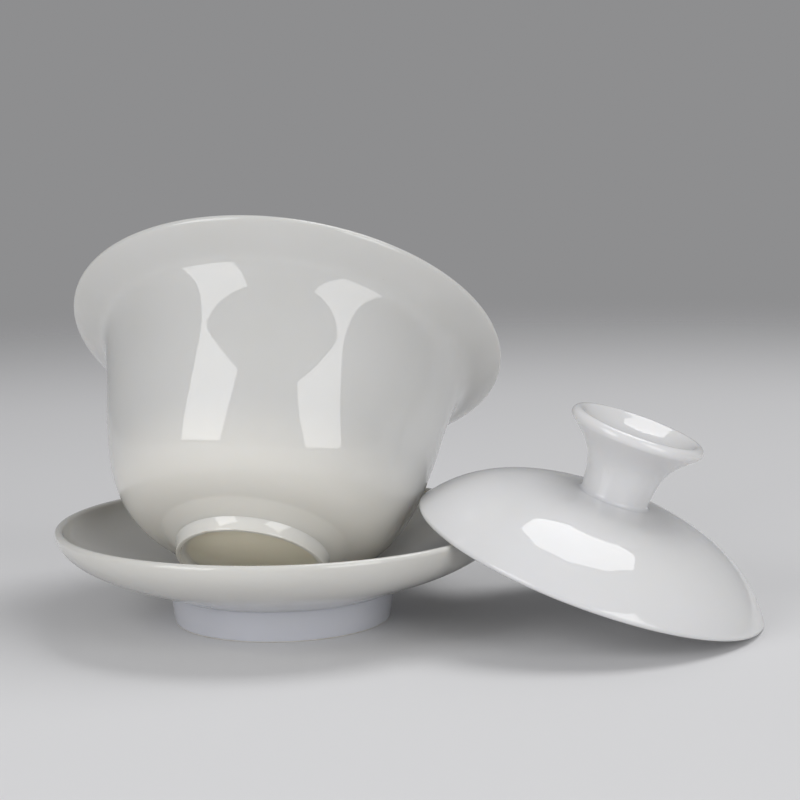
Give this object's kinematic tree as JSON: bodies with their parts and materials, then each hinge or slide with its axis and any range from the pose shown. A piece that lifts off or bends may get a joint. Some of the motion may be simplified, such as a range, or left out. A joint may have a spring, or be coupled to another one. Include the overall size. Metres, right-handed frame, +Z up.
{
  "type": "gaiwan",
  "caption": "Porcelain gaiwan: a flared tea bowl tipped back in its footed saucer, and a domed lid with a hollow-topped knob leaning beside it.",
  "frame": {"origin": "middle of the whole group's footprint, on the table", "axes": "+Z up, +X to the right with the bowl in its saucer on the left and the lid on the right, +Y away from the viewer"},
  "size_m": [0.1571, 0.1114, 0.0916],
  "materials": {
    "bowl_glaze": "polished",
    "bowl_foot_glaze": "polished",
    "saucer_glaze": "polished",
    "saucer_foot_glaze": "polished",
    "lid_glaze": "polished"
  },
  "bodies": {
    "saucer": {"saucer": "saucer_glaze", "saucer_foot_ring": "saucer_foot_glaze"},
    "bowl": {"bowl": "bowl_glaze", "bowl_foot_ring": "bowl_foot_glaze"},
    "lid": {"lid": "lid_glaze", "lid_knob": "lid_glaze"}
  },
  "joints": [
    {"name": "bowl_tilt", "type": "hinge", "parent": "saucer", "child": "bowl", "pos_m": [-0.03114, -0.00237, 0.03258], "axis": [0.9799, -0.1965, 0.0336], "range_deg": [0, 37.82]},
    {"name": "lid_lift", "type": "slide", "parent": "saucer", "child": "lid", "axis": [0.6018, -0.1003, 0.7923], "range_m": [0, 0.09]}
  ]
}
